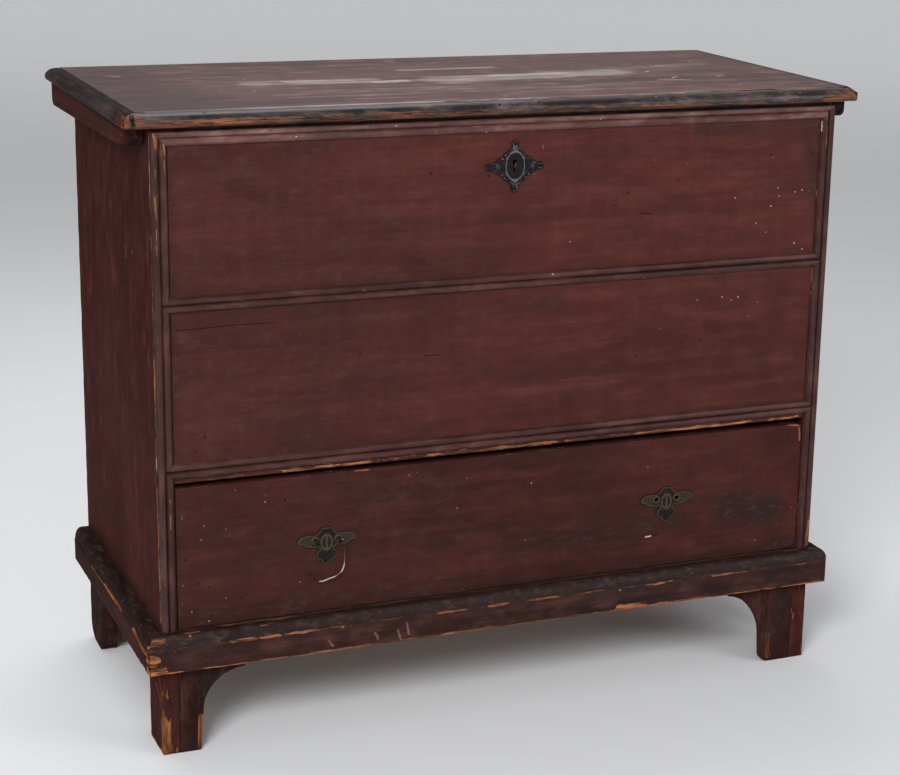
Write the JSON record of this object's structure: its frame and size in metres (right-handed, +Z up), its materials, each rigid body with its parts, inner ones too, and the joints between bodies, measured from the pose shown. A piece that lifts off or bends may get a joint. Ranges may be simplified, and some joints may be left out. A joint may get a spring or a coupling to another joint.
{
  "type": "mule chest",
  "caption": "Mule chest in worn red paint: lift lid over a deep well, long drawer below, double-arch mouldings, moulded base and bracket feet.",
  "frame": {"origin": "on the floor, under the middle of the chest's overall box", "axes": "+X to the right seen from the front, +Y from front to back, +Z up"},
  "size_m": [1.0736, 0.4906, 0.8765],
  "materials": {
    "red_paint": "old red paint, worn and rubbed",
    "dark_paint": "darkened paint, worn to the wood at the edges",
    "bare_wood": "unpainted aged pine",
    "escutcheon_metal": "slate grey cast plate",
    "brass": "blackened old brass",
    "wire": "bright worn wire",
    "iron": "wrought iron"
  },
  "bodies": {
    "case": {"side_left": "red_paint", "side_right": "red_paint", "front_board": "red_paint", "back_board_upper": "bare_wood", "back_board_lower": "bare_wood", "well_floor": "bare_wood", "base_rail": "bare_wood", "drawer_runner_left": "bare_wood", "drawer_runner_right": "bare_wood", "moulding_top": "red_paint", "moulding_mid": "red_paint", "moulding_lower": "red_paint", "moulding_left": "red_paint", "moulding_right": "red_paint", "base_moulding_front": "dark_paint", "base_moulding_left": "dark_paint", "base_moulding_right": "dark_paint", "foot_bracket_left": "red_paint", "foot_bracket_wing": "red_paint", "foot_bracket_right": "red_paint", "foot_block_left": "bare_wood", "foot_block_right": "bare_wood", "escutcheon": "escutcheon_metal", "lock_case": "iron", "hinge_leaf_left": "iron", "hinge_leaf_right": "iron", "hinge_pin_left": "iron", "hinge_pin_right": "iron"},
    "lid": {"lid_board": "red_paint", "lid_moulding_front": "dark_paint", "lid_moulding_left": "dark_paint", "lid_moulding_right": "dark_paint", "lid_cleat_left": "red_paint", "lid_cleat_right": "red_paint", "lid_staple": "iron", "hinge_strap_left": "iron", "hinge_strap_right": "iron"},
    "drawer": {"drawer_front": "red_paint", "drawer_side_left": "bare_wood", "drawer_side_right": "bare_wood", "drawer_back": "bare_wood", "drawer_bottom": "bare_wood", "pull_plate_left": "brass", "pull_plate_right": "brass", "pull_post_inner": "brass", "pull_post_outer": "brass"},
    "bail": {"pull_bail": "wire"},
    "bolt": {"lock_bolt": "iron"}
  },
  "joints": [
    {"name": "lid_hinge", "type": "hinge", "parent": "case", "child": "lid", "pos_m": [0, 0.23905, 0.8525], "axis": [-1, 0, 0], "range_deg": [0, 95]},
    {"name": "drawer_slide", "type": "slide", "parent": "case", "child": "drawer", "axis": [0, -1, 0], "range_m": [0, 0.33]},
    {"name": "bail_swing", "type": "hinge", "parent": "drawer", "child": "bail", "pos_m": [-0.24927, -0.23025, 0.2835], "axis": [-1, 0, 0], "range_deg": [-4, 110]},
    {"name": "bolt_slide", "type": "slide", "parent": "case", "child": "bolt", "axis": [-1, 0, 0], "range_m": [0, 0.01]}
  ]
}
